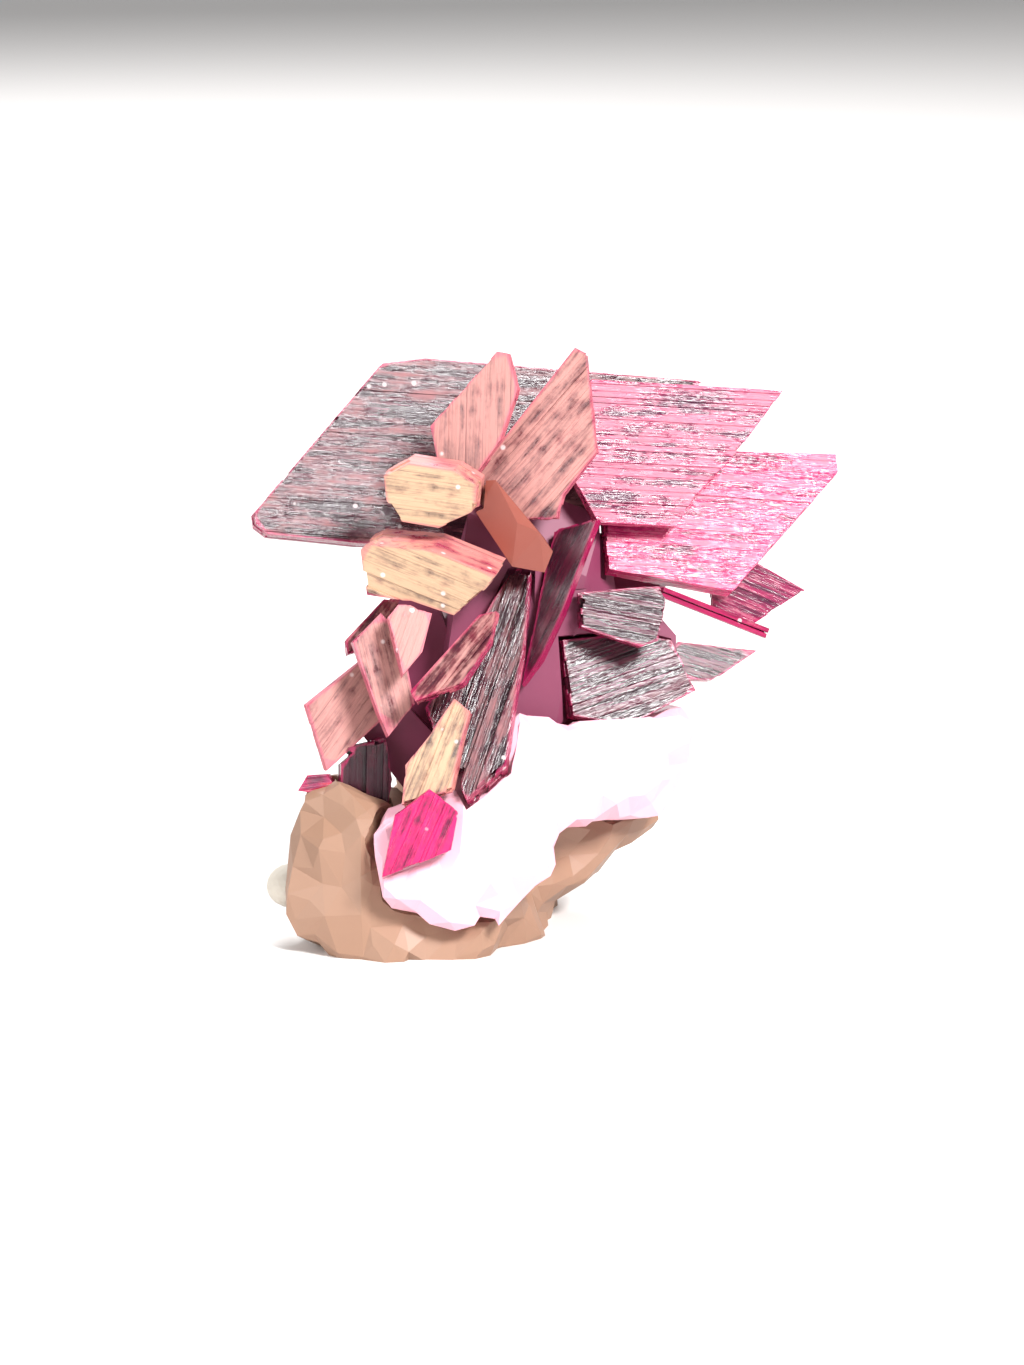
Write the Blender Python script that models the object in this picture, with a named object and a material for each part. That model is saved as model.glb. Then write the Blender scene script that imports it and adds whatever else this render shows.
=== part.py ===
"""Erythrite: bladed crystals in radiating sprays on a wedge of rock with a pink sugary crust.

The frame has X to the right, Y away from the viewer and Z up. The origin is the middle of the object's box,
on the surface that the rock stands on. Lengths below are millimetres until MM turns them into metres.
"""

from collections import namedtuple
from math import radians

import bmesh
import bpy
from mathutils import Euler, Matrix, noise

MM = 0.001
GAP = 0.3
LUMP_GAP = 0.75

# The specimen is laid out about the foremost foot of the rock, then moved by this to its box's middle.
TO_MIDDLE = (-2.64, -13.67, 0.0)

# The rock and the crust get a skin of facets this large, of which this share is kept, and more of them where the
# shape has to follow a neighbour.
SKIN_STEP = 0.7
FACETS_KEPT = 0.12
ROOM_FACETS_KEPT = 0.3

# Breaks their even surface: how far a point moves, and over what distance that changes.
ROCK_ROUGHNESS = 1.2
ROCK_GRAIN = 2.6
CRUST_ROUGHNESS = 0.9
CRUST_GRAIN = 1.8

# A crystal plate. Its front face looks along -Y with its length along +X before it is placed, and its thickness
# goes back from there. `at` is the outline's zero point, `lean` tips the face back, `dip` turns the length down in
# the plate and `turn` swings the face about the upright, in degrees. The outline is along and across the length.
Plate = namedtuple("Plate", "at lean dip turn thick outline")

PLATES = {
    "tray_crystal": Plate((-18.9, 14.2, 29.9), 22, 9, 12, 1.6, (
        (0.9, -0.6), (-0.1, 0.0), (-0.3, 0.9), (0.2, 1.6), (8.3, 13.4), (11.5, 14.2), (32.9, 15.1), (25.1, 1.4),
        (7.6, -0.5))),
    "left_upright_blade": Plate((-3.1, 11.0, 33.5), 14, -77, -14, 1.1, (
        (0, 0), (0.4, 2.5), (3.3, 4.1), (9.9, 0.8), (10.0, 0.0), (7.6, -1.5), (3.7, -1.3))),
    "right_upright_blade": Plate((-1.4, 11.9, 31.6), 14, -64, -8, 1.2, (
        (0, 0), (1.0, 2.4), (13.2, 0.1), (13.2, -0.9), (7.2, -4.9), (3.2, -4.2), (1.4, -4.6), (0.2, -2.3))),
    "upper_right_blade": Plate((5.9, 17.8, 40.2), 20, 6, 18, 0.9, (
        (0, 0), (15.2, 0), (11.2, -5.2), (8.1, -8.4), (6.7, -10.8), (0.4, -10.8), (-1.8, -7.0))),
    "big_right_blade": Plate((14.1, 21.3, 34.3), 31, 4, 15, 1.3, (
        (0, 0), (10.8, -0.1), (10.8, -1.5), (2.5, -10.4), (1.7, -11.3), (-7.8, -9.7), (-7.8, -5.4))),
    "tip_blade": Plate((17.5, 20.2, 26.4), 8, 30, 4, 1.1, (
        (0, 0), (5.3, 0), (3.2, -4.0), (-0.3, -4.6), (-1.3, -2.8))),
    "rod_lath": Plate((11.3, 15.0, 24.9), 10, 23, 30, 0.7, (
        (0, 0), (10.0, -0.1), (9.8, -0.8), (0, -0.6))),
    "purple_plate": Plate((12.5, 17.9, 20.3), 20, 10, 18, 0.9, (
        (0, 0), (6.3, 0), (2.9, -2.7), (1.0, -2.8), (-0.8, -1.1))),
    "dark_lath": Plate((5.0, 12.2, 25.2), 15, -2, 10, 1.3, (
        (0, 0), (6.0, 0), (6.6, -1.0), (5.7, -4.0), (4.3, -4.4), (-0.1, -2.6))),
    "bottom_plate": Plate((3.7, 13.0, 21.4), 20, 24, 20, 1.4, (
        (0, 0), (5.6, 2.7), (8.2, 3.0), (11.1, 0), (6.8, -4.4), (2.4, -5.2))),
    "pointed_blade": Plate((0.7, 10.3, 18.5), 21, -72, -20, 0.9, (
        (0, 0), (3.4, 0.8), (9.3, 2.2), (11.6, 2.6), (13.6, -0.1), (6.2, -0.6), (2.3, -0.5))),
    "centre_fan": Plate((-3.3, 2.1, 11.8), 36, -79, -6, 1.7, (
        (0, 0), (2.7, 2.3), (6.4, 4.8), (12.4, 3.0), (18.5, 1.5), (19.0, 0.1), (12.5, -1.1), (9.2, -1.4), (3.3, -2.1))),
    "tan_plate": Plate((-8.0, 1.9, 11.5), 24, -68, -12, 1.1, (
        (0, 0), (2.8, 1.1), (5.5, 0.5), (8.6, 0), (8.3, -1.4), (2.4, -2.8))),
    "pink_blade": Plate((-9.4, -0.4, 6.6), 8, -40, 4, 0.9, (
        (0, 0), (3.7, 2.8), (6.8, 2.6), (7.3, 0), (5.0, -1.8))),
    "tan_ended_lath": Plate((-7.4, 3.7, 19.5), 30, -53, -10, 1.0, (
        (0, 0), (7.6, 0), (8.7, -0.8), (6.8, -2.0), (2.9, -2.6), (-0.3, -0.8))),
    "diamond_blade": Plate((-7.9, 4.2, 20.6), 28, -62, 12, 0.9, (
        (0, 0), (3.6, 2.7), (4.8, 2.4), (6.0, 0), (2.2, -0.6))),
    "second_left_blade": Plate((-9.0, 5.2, 15.8), 18, -90, 12, 1.0, (
        (0, 0), (1.9, 0.7), (7.1, 2.2), (9.1, 0), (7.4, -1.4), (2.3, -2.1))),
    "outer_left_blade": Plate((-13.6, 6.9, 12.8), 12, -59, 16, 1.1, (
        (0, 0), (3.6, 3.6), (8.9, 1.2), (9.4, 0), (6.3, -2.3))),
    "rear_left_lath": Plate((-12.1, 9.5, 21.0), 18, -54, 10, 1.0, (
        (0, 0), (0.8, 0.7), (5.1, 0), (5.6, -1.0), (2.9, -2.3))),
    "dark_pillars": Plate((-12.6, 7.0, 10.7), 4, -89, 10, 1.2, (
        (0, 0), (2.6, 0), (3.8, -0.6), (4.4, -3.4), (0.7, -3.9), (-1.4, -3.4), (-0.9, -1.6), (-1.4, -0.9))),
    "upper_crackled_crystal": Plate((-9.4, 8.2, 34.6), -4, 4, -10, 3.0, (
        (0, 0), (1.6, 1.1), (5.3, 0.9), (7.0, 0), (6.9, -2.1), (4.4, -3.5), (1.4, -3.3), (0.3, -1.8))),
    "lower_crackled_crystal": Plate((-11.1, 7.7, 29.2), -6, 8, -14, 4.2, (
        (0, 0), (0.8, 0.6), (5.2, 1.0), (10.3, -0.1), (9.8, -1.2), (7.6, -3.7), (4.3, -3.2), (0.8, -3.3))),
    "small_red_crystal": Plate((-15.8, 8.0, 11.1), 10, -6, -14, 1.0, (
        (0, 0), (0.8, 1.1), (2.3, 1.1), (3.0, 0), (2.5, -0.5))),
}

# Lumps are the convex hulls of the points where their corners lie.
CRUST_LUMPS = (
    ((-9.9, 0.2, 6.4), (-8.5, 0.5, 3.3), (-5.9, 0.7, 1.9), (-0.9, 1.0, 2.4), (1.8, 1.4, 4.1), (2.6, 1.7, 5.5),
     (3.0, 2.8, 7.9), (-10.7, 2.2, 8.8), (-9.0, 3.0, 10.5), (-3.0, 3.0, 11.7), (-0.9, 5.3, 14.9), (0.3, 8.2, 17.0),
     (1.3, 9.2, 17.6), (2.4, 9.6, 17.0), (4.0, 9.5, 15.5), (-8.0, 8.0, 10.0), (4.0, 12.0, 10.0), (-4.0, 10.0, 13.0)),
    ((3.5, 10.0, 16.0), (6.5, 12.0, 15.9), (9.5, 13.5, 15.7), (13.5, 15.3, 15.8), (14.0, 17.0, 13.3),
     (13.8, 18.2, 10.7), (13.3, 18.0, 9.4), (11.1, 16.2, 6.9), (6.3, 8.7, 8.2), (4.6, 5.9, 8.8), (2.0, 4.8, 10.0),
     (1.5, 5.8, 13.0), (10.0, 20.0, 14.5), (8.0, 19.5, 9.0), (2.0, 13.0, 9.0)),
)
ROCK_LUMPS = (
    ((-15.8, 7.0, 11.0), (-16.1, 6.0, 8.6), (-16.5, 5.0, 6.6), (-16.6, 3.7, 2.8), (-16.0, 3.2, 1.6),
     (-14.5, 2.6, 0.8), (-12.1, 1.4, -1.0), (-10.0, 0.9, -1.0), (-10.7, 2.0, 7.0), (-10.5, 4.5, 11.0),
     (-13.0, 6.5, 12.0), (-13.5, 12.0, 12.0), (-15.8, 12.0, 5.0), (-13.5, 14.0, -1.0), (-6.0, 12.0, 10.0)),
    ((-12.1, 1.4, -1.0), (-10.0, 0.9, -1.0), (-6.0, 0.6, -1.0), (-2.3, 1.8, -0.6), (1.7, 7.0, 0.2),
     (3.0, 11.0, -1.0), (3.0, 20.5, -1.0), (-12.0, 20.5, -1.0), (-14.0, 12.0, -1.0), (-10.5, 2.5, 6.0),
     (0.0, 3.5, 5.0), (2.0, 19.0, 8.0), (-11.0, 19.0, 8.0)),
    ((2.6, 10.0, 1.2), (4.9, 13.0, 1.8), (6.0, 14.5, 2.7), (7.6, 16.0, 3.7), (11.3, 19.2, 5.9), (11.0, 21.5, 11.5),
     (5.0, 23.0, 3.0), (-8.0, 22.5, 2.0), (-8.0, 22.0, 18.0), (5.0, 21.0, 18.5), (-9.5, 13.0, 14.0),
     (-2.0, 12.0, 14.0), (5.0, 15.0, 14.0)),
)
STEM_POINTS = (
    (-6.0, 9.5, 12.5), (3.0, 11.5, 14.0), (9.5, 15.2, 14.5), (-3.5, 12.6, 24.5), (5.5, 14.0, 26.0),
    (8.0, 20.0, 22.0), (-5.5, 19.0, 22.0), (6.8, 17.2, 30.0), (-3.2, 13.2, 31.0), (0.5, 16.0, 32.6),
    (7.0, 20.0, 13.0), (-6.0, 18.0, 13.0),
)
# Blades behind and beside the stem, which have grown into it and so are one solid with it.
STEM_PLATES = (
    Plate((-7.0, 25.0, 33.0), 26, 62, 8, 1.3, ((0, 0), (15.0, 0.5), (15.0, 6.0), (3.0, 6.5))),
    Plate((-1.5, 26.5, 34.0), 28, 80, -6, 1.4, ((0, 0), (16.0, 1.0), (16.0, 6.5), (5.0, 6.0))),
    Plate((11.0, 26.5, 31.0), 27, 118, -14, 1.2, ((0, 0), (17.5, -1.5), (17.5, 4.5), (4.0, 5.0))),
    Plate((4.7, 15.2, 24.6), 15, 26, 20, 1.2, ((0, 0), (5.7, 1.4), (8.6, 0), (9.8, -3.2), (6.7, -3.1), (1.3, -3.4))),
    Plate((-3.5, 12.2, 12.5), 10, -114, -5, 1.6, ((0, -2.5), (12.0, -2.6), (13.6, -0.4), (11.4, 1.8), (0, 3.2))),
    Plate((-4.5, 10.0, 10.5), 4, -130, 2, 1.5, ((0, -2.0), (9.5, -1.6), (11.0, 0.4), (8.0, 2.2), (0, 2.6))),
)
KNOT_POINTS = (
    (-2.8, 9.2, 34.0), (-1.2, 8.6, 34.2), (-2.6, 9.4, 31.6), (0.4, 8.8, 31.0), (2.0, 9.2, 30.2), (3.0, 10.2, 28.6),
    (2.4, 10.4, 27.0), (0.0, 9.6, 27.6), (-1.4, 11.9, 30.6), (0.2, 12.6, 29.6), (2.4, 12.4, 29.2), (-1.8, 11.6, 33.0),
)
PUTTY_CENTRE = (-16.3, 9.2, 3.6)
PUTTY_RADII = (1.9, 2.4, 1.6)

Finish = namedtuple("Finish", "colour roughness")
MAROON = Finish((0.115, 0.012, 0.035), 0.25)
MAGENTA = Finish((0.45, 0.03, 0.14), 0.25)
ROSE_FILM = Finish((0.42, 0.17, 0.16), 0.5)
CORK = Finish((0.62, 0.42, 0.34), 0.75)
RED_BROWN = Finish((0.19, 0.035, 0.02), 0.35)
PINK_GRAIN = Finish((0.75, 0.33, 0.42), 0.45)
BROWN_ROCK = Finish((0.2, 0.1, 0.06), 0.8)
PUTTY = Finish((0.5, 0.45, 0.38), 0.7)

FINISH_OF = {
    "tray_crystal": MAROON, "left_upright_blade": ROSE_FILM, "right_upright_blade": ROSE_FILM,
    "upper_right_blade": MAGENTA, "big_right_blade": MAGENTA, "tip_blade": MAGENTA, "rod_lath": MAROON,
    "purple_plate": MAROON, "dark_lath": MAROON, "bottom_plate": MAROON, "pointed_blade": MAROON,
    "centre_fan": MAROON, "tan_plate": CORK, "pink_blade": MAGENTA, "tan_ended_lath": ROSE_FILM,
    "diamond_blade": ROSE_FILM, "second_left_blade": ROSE_FILM, "outer_left_blade": ROSE_FILM,
    "rear_left_lath": ROSE_FILM, "upper_crackled_crystal": CORK, "lower_crackled_crystal": CORK,
    "small_red_crystal": MAGENTA, "dark_pillars": MAROON,
}

# Where two crystals meet, the second one gives way to the first.
MEETINGS = (
    ("pointed_blade", "centre_fan"), ("pointed_blade", "dark_lath"), ("second_left_blade", "centre_fan"),
    ("tan_ended_lath", "centre_fan"), ("lower_crackled_crystal", "diamond_blade"),
    ("upper_crackled_crystal", "root_knot"), ("tan_plate", "pink_blade"), ("tan_plate", "centre_fan"),
    ("rod_lath", "big_right_blade"), ("rod_lath", "tip_blade"), ("second_left_blade", "dark_pillars"),
    ("outer_left_blade", "dark_pillars"), ("dark_pillars", "small_red_crystal"),
    ("right_upright_blade", "root_knot"),
)
IN_CRUST = ("bottom_plate", "centre_fan", "tan_plate", "pink_blade")
IN_STEM = ("tray_crystal", "dark_lath", "bottom_plate", "pointed_blade", "centre_fan", "root_knot", "rod_lath",
           "big_right_blade", "tan_ended_lath", "purple_plate", "tip_blade", "left_upright_blade",
           "right_upright_blade", "upper_right_blade", "lower_crackled_crystal", "second_left_blade",
           "outer_left_blade", "rear_left_lath", "dark_pillars", "diamond_blade", "tan_plate")
IN_ROCK = ("small_red_crystal", "dark_pillars", "pink_blade", "tan_plate", "outer_left_blade")


def clear_scene():
    for old in list(bpy.data.objects):
        bpy.data.objects.remove(old, do_unlink=True)


def material(name, finish):
    made = bpy.data.materials.new(name)
    made.use_nodes = True
    shader = made.node_tree.nodes["Principled BSDF"]
    shader.inputs["Base Color"].default_value = (*finish.colour, 1.0)
    shader.inputs["Roughness"].default_value = finish.roughness
    shader.inputs["Metallic"].default_value = 0.0
    return made


def mesh_object(name, shape, finish):
    """A new object from a bmesh in millimetres, moved into the object's own frame in metres."""
    bmesh.ops.recalc_face_normals(shape, faces=shape.faces)
    if shape.calc_volume(signed=True) < 0.0:
        bmesh.ops.reverse_faces(shape, faces=shape.faces)
    shape.transform(Matrix.Scale(MM, 4) @ Matrix.Translation(TO_MIDDLE))
    mesh = bpy.data.meshes.new(name)
    shape.to_mesh(mesh)
    shape.free()
    made = bpy.data.objects.new(name, mesh)
    made.data.materials.append(material(name + "_finish", finish))
    bpy.context.collection.objects.link(made)
    return made


def plate_shape(plate):
    """The plate's outline, filled, extruded through its thickness and put in its place."""
    shape = bmesh.new()
    corners = [shape.verts.new((along, 0.0, across)) for along, across in plate.outline]
    face = shape.faces.new(corners)
    back = bmesh.ops.extrude_face_region(shape, geom=[face])["geom"]
    moved = [item for item in back if isinstance(item, bmesh.types.BMVert)]
    bmesh.ops.translate(shape, verts=moved, vec=(0.0, plate.thick, 0.0))
    turned = Euler((radians(-plate.lean), radians(plate.dip), radians(plate.turn)), "YXZ")
    shape.transform(Matrix.Translation(plate.at) @ turned.to_matrix().to_4x4())
    return shape


def add_hull(shape, points):
    corners = [shape.verts.new(point) for point in points]
    made = bmesh.ops.convex_hull(shape, input=corners)
    inside = [item for item in made["geom_interior"] if isinstance(item, bmesh.types.BMVert)]
    bmesh.ops.delete(shape, geom=inside, context="VERTS")


def hull_shape(points):
    shape = bmesh.new()
    add_hull(shape, points)
    return shape


def take_modifiers(target):
    """Replaces the object's mesh by the one that its modifiers make."""
    seen = bpy.context.evaluated_depsgraph_get()
    made = bpy.data.meshes.new_from_object(target.evaluated_get(seen))
    target.modifiers.clear()
    target.data = made


def combine(target, other, operation):
    step = target.modifiers.new(operation.lower(), "BOOLEAN")
    step.operation = operation
    step.solver = "EXACT"
    step.object = other
    take_modifiers(target)


def join_to(target, other):
    combine(target, other, "UNION")
    bpy.data.objects.remove(other, do_unlink=True)


def guide_copy(neighbour):
    """A copy that only shapes other pieces."""
    made = neighbour.copy()
    made.data = neighbour.data.copy()
    made.hide_render = True
    made.display_type = "WIRE"
    bpy.context.collection.objects.link(made)
    return made


def room_of_crystal(crystal):
    """The crystal's shape with each face moved out by the gap."""
    made = guide_copy(crystal)
    shape = bmesh.new()
    shape.from_mesh(made.data)
    shape.normal_update()
    moves = [vert.normal * (GAP * MM * min(vert.calc_shell_factor(), 2.0)) for vert in shape.verts]
    for vert, move in zip(shape.verts, moves):
        vert.co += move
    shape.to_mesh(made.data)
    shape.free()
    return made


def room_of_lump(lump):
    """A rough solid's shape swollen by the gap, with a new skin because its dents close up as it swells."""
    made = guide_copy(lump)
    swell = made.modifiers.new("swell", "DISPLACE")
    swell.mid_level = 0.0
    swell.strength = LUMP_GAP * MM
    even_skin(made)
    thin_out(made, ROOM_FACETS_KEPT)
    return made


def make_room(target, room):
    combine(target, room, "DIFFERENCE")


def even_skin(target):
    """Makes one closed skin of small even facets over what overlaps."""
    skin = target.modifiers.new("skin", "REMESH")
    skin.mode = "VOXEL"
    skin.voxel_size = SKIN_STEP * MM
    take_modifiers(target)


def thin_out(target, share):
    thin = target.modifiers.new("thin", "DECIMATE")
    thin.ratio = share
    take_modifiers(target)


def lumps(name, groups, finish, amount, grain):
    """Hulls fused in one solid, then roughened."""
    shape = bmesh.new()
    for points in groups:
        add_hull(shape, points)
    whole = mesh_object(name, shape, finish)
    even_skin(whole)
    for vert in whole.data.vertices:
        vert.co += vert.normal * (amount * MM * noise.noise(vert.co / (grain * MM)))
    even_skin(whole)
    thin_out(whole, FACETS_KEPT)
    return whole


def flatten_foot(target):
    """Cuts away what lies under the surface that the rock stands on."""
    shape = bmesh.new()
    bmesh.ops.create_cube(shape, size=80.0)
    bmesh.ops.translate(shape, verts=shape.verts, vec=(0.0, 10.0, -40.0))
    under = mesh_object("under", shape, BROWN_ROCK)
    under.hide_render = True
    under.display_type = "WIRE"
    combine(target, under, "DIFFERENCE")
    bpy.data.objects.remove(under, do_unlink=True)


def stem():
    made = mesh_object("spray_stem", hull_shape(STEM_POINTS), MAROON)
    for plate in STEM_PLATES:
        join_to(made, mesh_object("stem_blade", plate_shape(plate), MAROON))
    return made


def putty():
    shape = bmesh.new()
    bmesh.ops.create_icosphere(shape, subdivisions=3, radius=1.0)
    bmesh.ops.scale(shape, verts=shape.verts, vec=PUTTY_RADII)
    bmesh.ops.translate(shape, verts=shape.verts, vec=PUTTY_CENTRE)
    return mesh_object("putty_lump", shape, PUTTY)


def main():
    clear_scene()
    crystals = {name: mesh_object(name, plate_shape(plate), FINISH_OF[name]) for name, plate in PLATES.items()}
    crystals["root_knot"] = mesh_object("root_knot", hull_shape(KNOT_POINTS), RED_BROWN)
    rooms = {name: room_of_crystal(crystal) for name, crystal in crystals.items()}
    for first, second in MEETINGS:
        make_room(crystals[second], rooms[first])
    crust = lumps("druzy_crust", CRUST_LUMPS, PINK_GRAIN, CRUST_ROUGHNESS, CRUST_GRAIN)
    core = stem()
    rock = lumps("matrix_rock", ROCK_LUMPS, BROWN_ROCK, ROCK_ROUGHNESS, ROCK_GRAIN)
    crust_room = room_of_lump(crust)
    core_room = room_of_lump(core)
    putty_room = room_of_lump(putty())
    make_room(core, crust_room)
    for room in (crust_room, core_room, putty_room):
        make_room(rock, room)
    for target, names in ((crust, IN_CRUST), (core, IN_STEM), (rock, IN_ROCK)):
        for name in names:
            make_room(target, rooms[name])
    flatten_foot(rock)
    for room in (*rooms.values(), crust_room, core_room, putty_room):
        bpy.data.objects.remove(room, do_unlink=True)


main()
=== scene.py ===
"""Looks of an erythrite specimen: sprays of striated, filmed crystal blades on a crusted rock."""

from collections import namedtuple
from math import cos, radians, sin
from random import Random

import bmesh
import bpy
import numpy as np
from mathutils import Matrix, Vector


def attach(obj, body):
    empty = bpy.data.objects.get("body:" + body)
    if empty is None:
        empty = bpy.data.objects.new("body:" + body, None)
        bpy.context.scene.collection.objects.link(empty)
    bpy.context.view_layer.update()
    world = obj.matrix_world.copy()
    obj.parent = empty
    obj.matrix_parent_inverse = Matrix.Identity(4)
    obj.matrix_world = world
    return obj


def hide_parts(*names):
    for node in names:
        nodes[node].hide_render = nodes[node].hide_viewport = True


MM = 0.001

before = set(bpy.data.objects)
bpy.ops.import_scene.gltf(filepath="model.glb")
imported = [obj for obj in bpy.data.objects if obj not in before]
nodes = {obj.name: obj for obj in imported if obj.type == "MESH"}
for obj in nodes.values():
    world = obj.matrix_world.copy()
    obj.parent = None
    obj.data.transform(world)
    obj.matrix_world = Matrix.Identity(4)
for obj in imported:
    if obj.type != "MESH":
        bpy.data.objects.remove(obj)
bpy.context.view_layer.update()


# Helpers for working on one piece at a time

def pick(piece):
    """Selects this piece alone and makes it active."""
    bpy.ops.object.select_all(action="DESELECT")
    piece.select_set(True)
    bpy.context.view_layer.objects.active = piece
    return piece


def add_modifier(piece, kind, **settings):
    """Adds a modifier with these settings and applies it."""
    pick(piece)
    made = piece.modifiers.new(kind.lower(), kind)
    for name, value in settings.items():
        setattr(made, name, value)
    bpy.ops.object.modifier_apply(modifier=made.name)


def twin(piece, name):
    """A copy of the piece with a mesh of its own."""
    made = piece.copy()
    made.data = piece.data.copy()
    made.name = name
    made.data.materials.clear()
    made.parent = None
    for key in list(made.keys()):
        del made[key]
    bpy.context.scene.collection.objects.link(made)
    made.hide_render = False
    made.hide_viewport = False
    return made


def join(pieces, name):
    bpy.ops.object.select_all(action="DESELECT")
    for piece in pieces:
        piece.select_set(True)
    bpy.context.view_layer.objects.active = pieces[0]
    bpy.ops.object.join()
    whole = bpy.context.object
    whole.name = name
    return whole


def place(piece, matrix):
    """Puts the piece where the matrix says and applies that to its mesh."""
    pick(piece).matrix_world = matrix
    bpy.ops.object.transform_apply(location=True, rotation=True, scale=True)


def select_in_edit(piece, test):
    """In edit mode, selects the vertices that pass the test and nothing else."""
    shape = bmesh.from_edit_mesh(piece.data)
    for vert in shape.verts:
        vert.select_set(test(vert.co))
    shape.select_flush(True)
    bmesh.update_edit_mesh(piece.data)


def slice_all(piece, point, normal, **clear):
    """In edit mode, cuts the whole piece by a plane."""
    bpy.ops.mesh.select_all(action="SELECT")
    bpy.ops.mesh.bisect(plane_co=point, plane_no=normal, threshold=1e-5, **clear)


# Crystal blades

Flat = namedtuple("Flat", "outline thick matrix")


def lay_flat(node):
    """The front face of a CAD plate: its outline in mm, x to the right and y up, and the way back to its place."""
    piece = pick(twin(nodes[node], "flat"))
    bpy.ops.object.mode_set(mode="EDIT")
    bpy.ops.mesh.select_all(action="SELECT")
    bpy.ops.mesh.remove_doubles(threshold=1e-6)
    bpy.ops.mesh.dissolve_limited(angle_limit=radians(1.0))
    bpy.ops.object.mode_set(mode="OBJECT")
    fronts = [face for face in piece.data.polygons if face.normal.y < -0.3]
    front = max(fronts, key=lambda face: face.area)
    normal = front.normal.copy()
    right = Vector((0, 0, 1)).cross(normal).normalized()
    up = normal.cross(right)
    middle = front.center.copy()
    turned = Matrix((right, up, normal)).transposed().to_4x4()
    matrix = Matrix.Translation(middle) @ turned @ Matrix.Scale(MM, 4)
    back = matrix.inverted()
    corners = [(back @ piece.data.vertices[index].co).to_2d() for index in front.vertices]
    thick = -min((back @ vert.co).z for vert in piece.data.vertices)
    bpy.data.objects.remove(piece, do_unlink=True)
    return Flat(corners, thick, matrix)


def polygon(outline):
    """A flat face with its corners at these places."""
    bpy.ops.object.select_all(action="DESELECT")
    bpy.ops.mesh.primitive_circle_add(vertices=len(outline), radius=1.0, fill_type="NGON")
    piece = bpy.context.object
    for vert, corner in zip(piece.data.vertices, outline):
        vert.co = (corner[0], corner[1], 0.0)
    return piece


def laths(outline, grain, top, thick, width, jag, lift, rng):
    """A layer of laths side by side that fill the outline: cut along the grain, each a bit higher or shorter."""
    piece = polygon(outline)
    along = Vector((cos(radians(grain)), sin(radians(grain)), 0.0))
    across = Vector((-along.y, along.x, 0.0))
    reach = [Vector((x, y, 0.0)).dot(across) for x, y in outline]
    bpy.ops.object.mode_set(mode="EDIT")
    line = min(reach) + width * rng.uniform(0.3, 1.0)
    while line < max(reach) - 0.25 * width:
        slice_all(piece, across * line, across)
        line += width * rng.uniform(0.45, 1.6)
    bpy.ops.mesh.select_all(action="SELECT")
    bpy.ops.mesh.edge_split()
    shape = bmesh.from_edit_mesh(piece.data)
    tint = shape.verts.layers.float.new("tint")
    for face in shape.faces:
        ends = [vert.co.dot(along) for vert in face.verts]
        middle = (min(ends) + max(ends)) / 2.0
        shade, rise = rng.random(), rng.gauss(0.0, lift)
        pull_near, pull_far = rng.random() ** 2 * jag, rng.random() ** 2 * jag
        for vert in face.verts:
            vert[tint] = shade
            pull = -pull_far if vert.co.dot(along) > middle else pull_near
            if max(ends) - min(ends) > 4.0 * jag:
                vert.co += along * pull
            vert.co.z += top + rise
    bmesh.update_edit_mesh(piece.data)
    bpy.ops.object.mode_set(mode="OBJECT")
    add_modifier(piece, "SOLIDIFY", thickness=thick, offset=-1.0)
    return piece


def smooth_step(low, high, value):
    part = np.clip((value - low) / (high - low), 0.0, 1.0)
    return part * part * (3.0 - 2.0 * part)


def put_attribute(piece, name, values):
    """Stores one number, or three, for each vertex."""
    kind, key = ("FLOAT", "value") if values.ndim == 1 else ("FLOAT_VECTOR", "vector")
    made = piece.data.attributes.get(name) or piece.data.attributes.new(name, kind, "POINT")
    made.data.foreach_set(key, values.astype(np.float32).ravel())


def places(piece):
    found = np.zeros(len(piece.data.vertices) * 3)
    piece.data.vertices.foreach_get("co", found)
    return found.reshape(-1, 3)


def rim_distance(xy, outline):
    """How far each point is from the nearest side of the outline."""
    nearest = np.full(len(xy), 99.0)
    for index, corner in enumerate(outline):
        start, end = np.array(outline[index - 1]), np.array(corner)
        side = end - start
        share = np.clip((xy - start) @ side / max(side @ side, 1e-9), 0.0, 1.0)
        gap = np.linalg.norm(xy - start - share[:, None] * side, axis=1)
        nearest = np.minimum(nearest, gap)
    return nearest


# A patch on a blade, of film, painted glow or painted shade according to its kind: its kind, its middle, its half
# length along the grain, its half width, and its strength.
Stain = namedtuple("Stain", "kind x y long wide strength")
# Kinds: film and tan are films on the crystal; the glow kind is painted light passing through the crystal; ember is
# red-orange, partly painted glow at thin edges; pale is a whitish film, partly a painted sheen; the last kind is
# painted shade.
PATCH_KINDS = ("film", "glow", "ember", "pale", "tan", "painted_shade")


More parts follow.
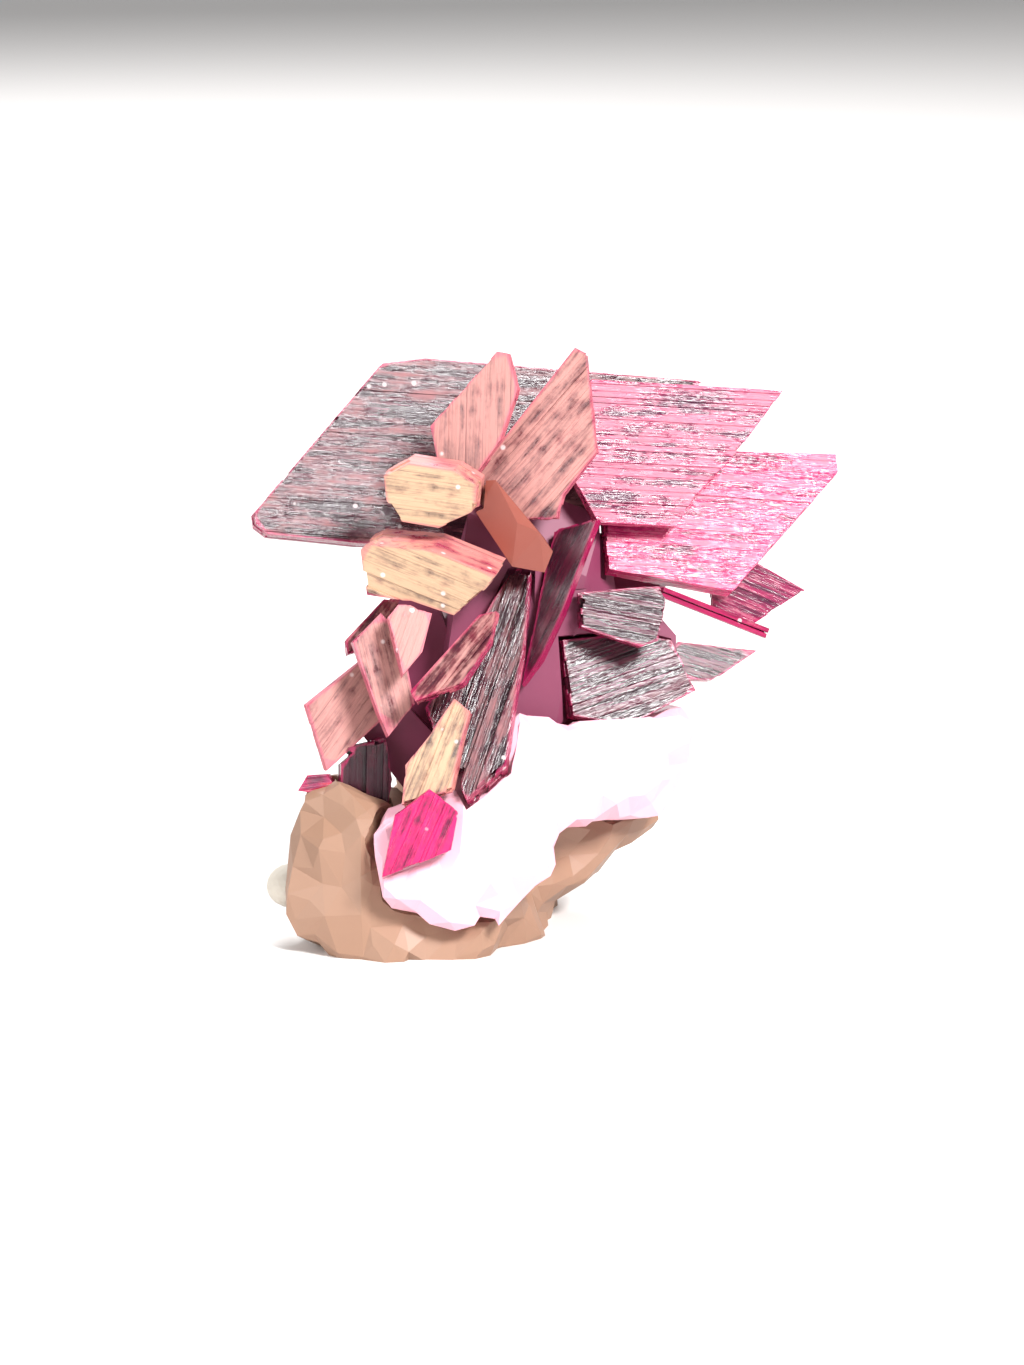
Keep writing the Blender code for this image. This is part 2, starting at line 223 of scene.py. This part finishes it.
def paint_blade(piece, outline, grain, stains, base):
    """Gives the blade its growth coordinates, its distance from the rim and its patches of film, painted glow and
    painted shade.
    """
    co = places(piece)
    turn = radians(grain)
    along = co[:, 0] * cos(turn) + co[:, 1] * sin(turn)
    across = -co[:, 0] * sin(turn) + co[:, 1] * cos(turn)
    amounts = {kind: np.full(len(co), base.get(kind, 0.0)) for kind in PATCH_KINDS}
    for stain in stains:
        middle_along = stain.x * cos(turn) + stain.y * sin(turn)
        middle_across = -stain.x * sin(turn) + stain.y * cos(turn)
        far = np.hypot((along - middle_along) / stain.long, (across - middle_across) / stain.wide)
        here = stain.strength * (1.0 - smooth_step(0.55, 1.25, far))
        amounts[stain.kind] = np.maximum(amounts[stain.kind], here)
        if stain.kind not in ("painted_shade", "film"):
            amounts["film"] = amounts["film"] * (1.0 - 0.8 * here)
    put_attribute(piece, "along", np.stack((along, across, co[:, 2]), axis=1))
    put_attribute(piece, "rim", rim_distance(co[:, :2], [tuple(corner) for corner in outline]))
    # The first attribute holds film, painted glow and red-orange amounts; the second holds pale film (partly a painted
    # sheen), tan film and painted shade.
    put_attribute(piece, "stain", np.stack([amounts[kind] for kind in ("film", "glow", "ember")], axis=1))
    put_attribute(piece, "pale_tan_shade", np.stack([amounts[kind] for kind in ("pale", "tan", "painted_shade")], axis=1))


# Growth step on a blade's face: its outline on the flat face, how far it stands out, and its thickness.
Step = namedtuple("Step", "outline rise thick")
Blade = namedtuple("Blade", "slot grain width sheets jag lift steps stains base")


def cut_across(piece, grain, spacing):
    """Cuts the blade across its grain, so that its patches of film, painted glow and painted shade have places to
    change at.
    """
    along = Vector((cos(radians(grain)), sin(radians(grain)), 0.0))
    reach = places(piece)[:, :2] @ np.array(along.to_2d())
    pick(piece)
    bpy.ops.object.mode_set(mode="EDIT")
    line = reach.min() + spacing
    while line < reach.max() - spacing * 0.4:
        slice_all(piece, along * line, along)
        line += spacing
    bpy.ops.object.mode_set(mode="OBJECT")


def build_blade(node, blade, seed):
    """The whole blade in place of its CAD plate: stacked sheets of laths, with growth steps on both faces."""
    rng = Random(seed)
    flat = lay_flat(node)
    layers = []
    thick = flat.thick / blade.sheets
    for number in range(blade.sheets):
        layers.append(laths(flat.outline, blade.grain, -thick * number, thick * 1.02, blade.width,
                            blade.jag, blade.lift, rng))
    for step in blade.steps:
        layers.append(laths(step.outline, blade.grain, step.rise, step.thick, blade.width * 0.8,
                            blade.jag, blade.lift * 0.8, rng))
    piece = join(layers, node + "_blade")
    add_modifier(piece, "BEVEL", width=0.035, segments=1, limit_method="ANGLE", angle_limit=radians(40.0))
    cut_across(piece, blade.grain, 0.9)
    paint_blade(piece, flat.outline, blade.grain, blade.stains, blade.base)
    place(piece, flat.matrix)
    finish_piece(piece, SLOT_MATERIAL[blade.slot], blade.slot, node)
    return piece


def finish_piece(piece, material, slot, *replaced):
    piece.data.materials.clear()
    piece.data.materials.append(material)
    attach(piece, "root")
    if replaced:
        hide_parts(*replaced)


# Shader parts shared by the finishes

class Tree:
    """Adds nodes to a shader tree and links them."""

    def __init__(self, tree):
        self.tree = tree

    def node(self, kind, settings=None, **inputs):
        made = self.tree.nodes.new(kind)
        for name, value in (settings or {}).items():
            setattr(made, name, value)
        for name, value in inputs.items():
            self.put(made.inputs[name.replace("_", " ")], value)
        return made

    def put(self, socket, value):
        if isinstance(value, bpy.types.NodeSocket):
            self.tree.links.new(value, socket)
        else:
            socket.default_value = value

    def math(self, operation, first, second=0.0, clamp=False):
        made = self.tree.nodes.new("ShaderNodeMath")
        made.operation = operation
        made.use_clamp = clamp
        self.put(made.inputs[0], first)
        self.put(made.inputs[1], second)
        return made.outputs[0]

    def mix(self, share, first, second):
        made = self.tree.nodes.new("ShaderNodeMix")
        made.data_type = "RGBA"
        self.put(made.inputs["Factor"], share)
        self.put(made.inputs[6], first)
        self.put(made.inputs[7], second)
        return made.outputs[2]

    def band(self, value, low, high, to_low=0.0, to_high=1.0):
        made = self.tree.nodes.new("ShaderNodeMapRange")
        made.interpolation_type = "SMOOTHSTEP"
        for name, number in (("Value", value), ("From Min", low), ("From Max", high), ("To Min", to_low),
                             ("To Max", to_high)):
            self.put(made.inputs[name], number)
        return made.outputs[0]

    def stretch(self, vector, scale, shift=(0.0, 0.0, 0.0)):
        made = self.tree.nodes.new("ShaderNodeMapping")
        self.put(made.inputs["Vector"], vector)
        made.inputs["Scale"].default_value = scale
        made.inputs["Location"].default_value = shift
        return made.outputs[0]

    def noise(self, vector, scale, detail=3.0, roughness=0.55, distortion=0.0):
        made = self.node("ShaderNodeTexNoise", Vector=vector, Scale=scale, Detail=detail, Roughness=roughness,
                         Distortion=distortion)
        return made.outputs["Fac"]

    def attribute(self, name):
        return self.node("ShaderNodeAttribute", {"attribute_name": name})


def new_group(name, inputs, outputs):
    """An empty shader group. Inputs are (name, kind, value), outputs (name, kind)."""
    tree = bpy.data.node_groups.new(name, "ShaderNodeTree")
    for label, kind, value in inputs:
        socket = tree.interface.new_socket(label, in_out="INPUT", socket_type="NodeSocket" + kind)
        socket.default_value = value
    for label, kind in outputs:
        tree.interface.new_socket(label, in_out="OUTPUT", socket_type="NodeSocket" + kind)
    entry, leave = tree.nodes.new("NodeGroupInput"), tree.nodes.new("NodeGroupOutput")
    return Tree(tree), entry.outputs, leave.inputs


def growth_lines_group():
    """Fine and broad streaks along the grain, from a blade's growth coordinates."""
    build, given, out = new_group("growth_lines", [("Along", "Vector", (0, 0, 0))],
                                  [("Fine", "Float"), ("Broad", "Float"), ("Cloud", "Float")])
    fine = build.noise(build.stretch(given["Along"], (0.10, 5.5, 2.0)), 1.0, 4.0, 0.7)
    broad = build.noise(build.stretch(given["Along"], (0.16, 1.5, 1.0), (3.1, 7.7, 0.0)), 1.0, 3.0, 0.6)
    cloud = build.noise(build.stretch(given["Along"], (0.55, 0.8, 0.6), (9.2, 1.3, 4.0)), 1.0, 5.0, 0.62)
    build.put(out["Fine"], fine)
    build.put(out["Broad"], broad)
    build.put(out["Cloud"], cloud)
    return build.tree


def patch_mask_group():
    """Breaks a painted amount up by streaks and clouds."""
    build, given, out = new_group(
        "patch_mask", [("Amount", "Float", 0.0), ("Streaks", "Float", 0.5), ("Cloud", "Float", 0.5),
                       ("Softness", "Float", 0.3)], [("Mask", "Float")])
    rough = build.math("ADD", build.math("MULTIPLY", given["Streaks"], 0.9), build.math("MULTIPLY", given["Cloud"], 0.9))
    rough = build.math("SUBTRACT", rough, 0.9)
    value = build.math("ADD", given["Amount"], build.math("MULTIPLY", rough, 1.5))
    low = build.math("SUBTRACT", 0.5, given["Softness"])
    high = build.math("ADD", 0.5, given["Softness"])
    mask = build.band(value, low, high)
    gate = build.band(given["Amount"], 0.02, 0.2)
    build.put(out["Mask"], build.math("MULTIPLY", mask, gate))
    return build.tree


def dust_group():
    """Scattered pale specks."""
    build, given, out = new_group("dust", [("Vector", "Vector", (0, 0, 0)), ("Amount", "Float", 0.3)],
                                  [("Mask", "Float")])
    cells = build.node("ShaderNodeTexVoronoi", {"feature": "F1"}, Vector=given["Vector"], Scale=900.0)
    dot = build.band(cells.outputs["Distance"], 0.10, 0.22, 1.0, 0.0)
    chance = build.node("ShaderNodeSeparateColor", Color=cells.outputs["Color"]).outputs[0]
    kept = build.math("LESS_THAN", chance, given["Amount"])
    build.put(out["Mask"], build.math("MULTIPLY", dot, kept))
    return build.tree


GROWTH_LINES = growth_lines_group()
PATCH_MASK = patch_mask_group()
DUST = dust_group()


def use_group(build, tree, **inputs):
    made = build.tree.nodes.new("ShaderNodeGroup")
    made.node_tree = tree
    for name, value in inputs.items():
        build.put(made.inputs[name], value)
    return made.outputs


def colour(red, green, blue):
    return (red, green, blue, 1.0)


# A crystal finish: clean colour, its darker depth, film colour, the colour of painted glow where light passes through,
# red-orange colour (partly painted glow), pale film colour (partly a painted sheen), tan film colour, and the shine of
# a clean face.
Crystal = namedtuple("Crystal", "clean depth film glow ember pale tan shine")


def crystal_material(name, look):
    """Striated crystal with painted films, painted glow where light passes through, red-orange marks that are partly
    painted glow, red rims of painted glow, painted shade in the grooves and between the blades, dust and a glassy coat.
    """
    made = bpy.data.materials.new(name)
    made.use_nodes = True
    build = Tree(made.node_tree)
    shader = made.node_tree.nodes["Principled BSDF"]
    along = build.attribute("along").outputs["Vector"]
    lines = use_group(build, GROWTH_LINES, Along=along)
    stain = build.node("ShaderNodeSeparateXYZ", Vector=build.attribute("stain").outputs["Vector"]).outputs
    pale_tan_shade = build.node("ShaderNodeSeparateXYZ", Vector=build.attribute("pale_tan_shade").outputs["Vector"]).outputs
    tint = build.attribute("tint").outputs["Fac"]
    rim = build.attribute("rim").outputs["Fac"]

    def mask(amount, softness):
        return use_group(build, PATCH_MASK, Amount=amount, Streaks=lines["Broad"], Cloud=lines["Cloud"],
                         Softness=softness)["Mask"]

    body = build.mix(build.band(lines["Broad"], 0.35, 0.65), look.depth, look.clean)
    body = build.mix(build.math("MULTIPLY", build.band(tint, 0.0, 1.0), 0.35), body, look.depth)
    # Painted glow: hot magenta where light passes through the crystal.
    body = build.mix(mask(stain[1], 0.28), body, look.glow)
    film = mask(stain[0], 0.3)
    body = build.mix(build.math("MULTIPLY", film, 0.85), body, look.film)
    tan = mask(pale_tan_shade[1], 0.3)
    body = build.mix(build.math("MULTIPLY", tan, 0.9), body, look.tan)
    # Pale whitish film, partly a painted sheen.
    pale = mask(pale_tan_shade[0], 0.3)
    body = build.mix(build.math("MULTIPLY", pale, 0.8), body, look.pale)
    # Red-orange marks: partly the crystal's own red, partly painted glow at thin edges.
    body = build.mix(mask(stain[2], 0.25), body, look.ember)
    # Painted glow along the outline, where light passes through the thin rims.
    painted_rim_glow = build.band(build.math("ADD", rim, build.math("MULTIPLY", lines["Fine"], 0.35)), 0.16, 0.42, 1.0, 0.0)
    body = build.mix(build.math("MULTIPLY", painted_rim_glow, 0.45), body, look.glow)
    # Painted shade: darker in the fine grooves of the bump.
    painted_groove_shade = build.band(lines["Fine"], 0.30, 0.47, 1.0, 0.0)
    body = build.mix(build.math("MULTIPLY", painted_groove_shade, 0.55), body, look.depth)
    # Painted shade: near-black where shade falls between the blades and at their roots.
    body = build.mix(mask(pale_tan_shade[2], 0.35), body, colour(0.006, 0.001, 0.004))
    specks = use_group(build, DUST, Vector=build.node("ShaderNodeTexCoord").outputs["Object"], Amount=0.16)["Mask"]
    body = build.mix(build.math("MULTIPLY", specks, 0.6), body, colour(0.85, 0.74, 0.74))
    build.put(shader.inputs["Base Color"], body)
    dull = build.math("MAXIMUM", build.math("MAXIMUM", film, tan), pale)
    dull = build.math("MAXIMUM", dull, specks)
    rough = build.band(dull, 0.0, 1.0, look.shine, 0.55)
    rough = build.math("ADD", rough, build.math("MULTIPLY", lines["Fine"], 0.12))
    build.put(shader.inputs["Roughness"], rough)
    shader.inputs["IOR"].default_value = 1.63
    height = build.math("ADD", build.math("MULTIPLY", lines["Fine"], 1.0), build.math("MULTIPLY", lines["Cloud"], 0.25))
    bump = build.node("ShaderNodeBump", Height=height)
    bump.inputs["Strength"].default_value = 0.55
    bump.inputs["Distance"].default_value = 0.00012
    build.put(shader.inputs["Normal"], bump.outputs[0])
    return made


MAROON_LOOK = Crystal(colour(0.085, 0.006, 0.022), colour(0.018, 0.002, 0.008), colour(0.33, 0.13, 0.135),
                      colour(0.62, 0.012, 0.13), colour(0.75, 0.06, 0.02), colour(0.55, 0.45, 0.55),
                      colour(0.55, 0.36, 0.22), 0.14)
MAGENTA_LOOK = MAROON_LOOK._replace(clean=colour(0.36, 0.012, 0.09), depth=colour(0.07, 0.003, 0.03),
                                    film=colour(0.40, 0.17, 0.22))
FILMED_LOOK = MAROON_LOOK._replace(clean=colour(0.17, 0.015, 0.03), depth=colour(0.045, 0.004, 0.012),
                                   film=colour(0.50, 0.23, 0.20))
CORK_LOOK = MAROON_LOOK._replace(clean=colour(0.35, 0.13, 0.10), film=colour(0.62, 0.40, 0.33))

SLOT_MATERIAL = {
    "maroon_crystal": crystal_material("maroon_crystal", MAROON_LOOK),
    "magenta_crystal": crystal_material("magenta_crystal", MAGENTA_LOOK),
    "filmed_crystal": crystal_material("filmed_crystal", FILMED_LOOK),
    "crackled_crystal": crystal_material("crackled_crystal", CORK_LOOK),
    "red_brown_crystal": crystal_material("red_brown_crystal", MAROON_LOOK),
}

# Base patch amounts per blade: film and tan are films on the crystal; the glow amounts are painted light passing
# through the crystal, and the deep amount on the pillars is painted shade.
BLADES = {
    "tray_crystal": Blade("maroon_crystal", -6, 1.1, 4, 0.3, 0.05, [], [], {"film": 0.3}),
    "left_upright_blade": Blade("filmed_crystal", 92, 0.7, 3, 0.2, 0.04, [], [], {"film": 0.7}),
    "right_upright_blade": Blade("filmed_crystal", 50, 0.7, 3, 0.2, 0.04, [], [], {"film": 0.6}),
    "upper_right_blade": Blade("magenta_crystal", -6, 0.8, 3, 0.25, 0.04, [], [], {"film": 0.4, "glow": 0.4}),
    "big_right_blade": Blade("magenta_crystal", -7, 0.9, 3, 0.25, 0.04, [], [], {"film": 0.3, "glow": 0.6}),
    "tip_blade": Blade("magenta_crystal", -24, 0.7, 3, 0.2, 0.04, [], [], {"film": 0.2, "glow": 0.2}),
    "rod_lath": Blade("maroon_crystal", -67, 0.5, 2, 0.2, 0.04, [], [], {"film": 0.2}),
    "purple_plate": Blade("maroon_crystal", -20, 0.6, 3, 0.2, 0.04, [], [], {"film": 0.1}),
    "dark_lath": Blade("maroon_crystal", -12, 0.5, 3, 0.4, 0.06, [], [], {"film": 0.1}),
    "bottom_plate": Blade("maroon_crystal", 14, 0.9, 3, 0.2, 0.04, [], [], {"film": 0.1}),
    "pointed_blade": Blade("maroon_crystal", 70, 0.35, 3, 0.2, 0.05, [], [], {"film": 0.1}),
    "centre_fan": Blade("maroon_crystal", 76, 0.35, 3, 0.6, 0.12, [], [], {"film": 0.35}),
    "tan_plate": Blade("crackled_crystal", 73, 0.5, 3, 0.3, 0.05, [], [], {"tan": 0.6}),
    "pink_blade": Blade("magenta_crystal", 66, 0.5, 3, 0.2, 0.04, [], [], {"glow": 0.6}),
    "tan_ended_lath": Blade("filmed_crystal", 56, 0.35, 3, 0.3, 0.05, [], [], {"film": 0.4}),
    "diamond_blade": Blade("filmed_crystal", 66, 0.8, 3, 0.1, 0.02, [], [], {"film": 0.8}),
    "second_left_blade": Blade("filmed_crystal", 100, 0.9, 3, 0.1, 0.02, [], [], {"film": 0.6}),
    "outer_left_blade": Blade("filmed_crystal", 50, 1.0, 3, 0.1, 0.02, [], [], {"film": 0.7}),
    "rear_left_lath": Blade("filmed_crystal", 50, 0.5, 3, 0.2, 0.04, [], [], {"film": 0.4}),
    # Painted shade: near-black patches over the dark pillars.
    "dark_pillars": Blade("maroon_crystal", 88, 0.5, 2, 0.6, 0.2, [], [], {"painted_shade": 0.4}),
    "small_red_crystal": Blade("magenta_crystal", 10, 0.5, 2, 0.1, 0.04, [], [], {"ember": 0.3}),
    "upper_crackled_crystal": Blade("crackled_crystal", -6, 0.9, 3, 0.3, 0.05, [], [], {"tan": 0.7}),
    "lower_crackled_crystal": Blade("crackled_crystal", -20, 0.9, 3, 0.3, 0.05, [], [], {"tan": 0.7}),
}

for number, (node, blade) in enumerate(BLADES.items()):
    build_blade(node, blade, 100 + number)


# Stage, lights and camera

def plain_material(name, tone, roughness):
    made = bpy.data.materials.new(name)
    made.use_nodes = True
    shader = made.node_tree.nodes["Principled BSDF"]
    shader.inputs["Base Color"].default_value = tone
    shader.inputs["Roughness"].default_value = roughness
    return made


def build_floor():
    bpy.ops.object.select_all(action="DESELECT")
    bpy.ops.mesh.primitive_plane_add(size=6.0)
    floor = bpy.context.object
    floor.name = "floor"
    floor.data.materials.append(plain_material("pale_floor", colour(0.74, 0.72, 0.71), 0.45))


def soft_light(name, at, size, power, tone=(1.0, 1.0, 1.0)):
    light = bpy.data.lights.new(name, "AREA")
    light.size = size
    light.energy = power
    light.color = tone
    lamp = bpy.data.objects.new(name, light)
    bpy.context.scene.collection.objects.link(lamp)
    lamp.location = at
    aim = Vector((0.0, 0.0, 0.02)) - Vector(at)
    lamp.rotation_euler = aim.to_track_quat("-Z", "Y").to_euler()


def set_lights():
    soft_light("key", (0.30, -0.34, 0.42), 0.16, 7.0)
    soft_light("fill", (-0.45, -0.35, 0.30), 0.40, 3.0)
    soft_light("back", (-0.10, 0.50, 0.40), 0.35, 4.0)
    world = bpy.context.scene.world or bpy.data.worlds.new("world")
    bpy.context.scene.world = world
    world.use_nodes = True
    sky = world.node_tree.nodes["Background"]
    sky.inputs["Color"].default_value = colour(1.0, 1.0, 1.0)
    sky.inputs["Strength"].default_value = 0.35


# The photographed view: 12 degrees down, from 386 mm in front of the foremost foot of the rock.
CAMERA_AT = (-0.00264, -0.38644, 0.10018)
CAMERA_TILT = 12.0
LENS = 140.0


def set_camera():
    view = bpy.data.cameras.new("camera")
    view.lens = LENS
    view.sensor_fit = "VERTICAL"
    view.sensor_height = 36.0
    view.clip_start = 0.01
    camera = bpy.data.objects.new("camera", view)
    bpy.context.scene.collection.objects.link(camera)
    camera.location = CAMERA_AT
    camera.rotation_euler = (radians(90.0 - CAMERA_TILT), 0.0, 0.0)
    bpy.context.scene.camera = camera


build_floor()
set_lights()
set_camera()
bpy.context.scene.view_settings.view_transform = "Standard"
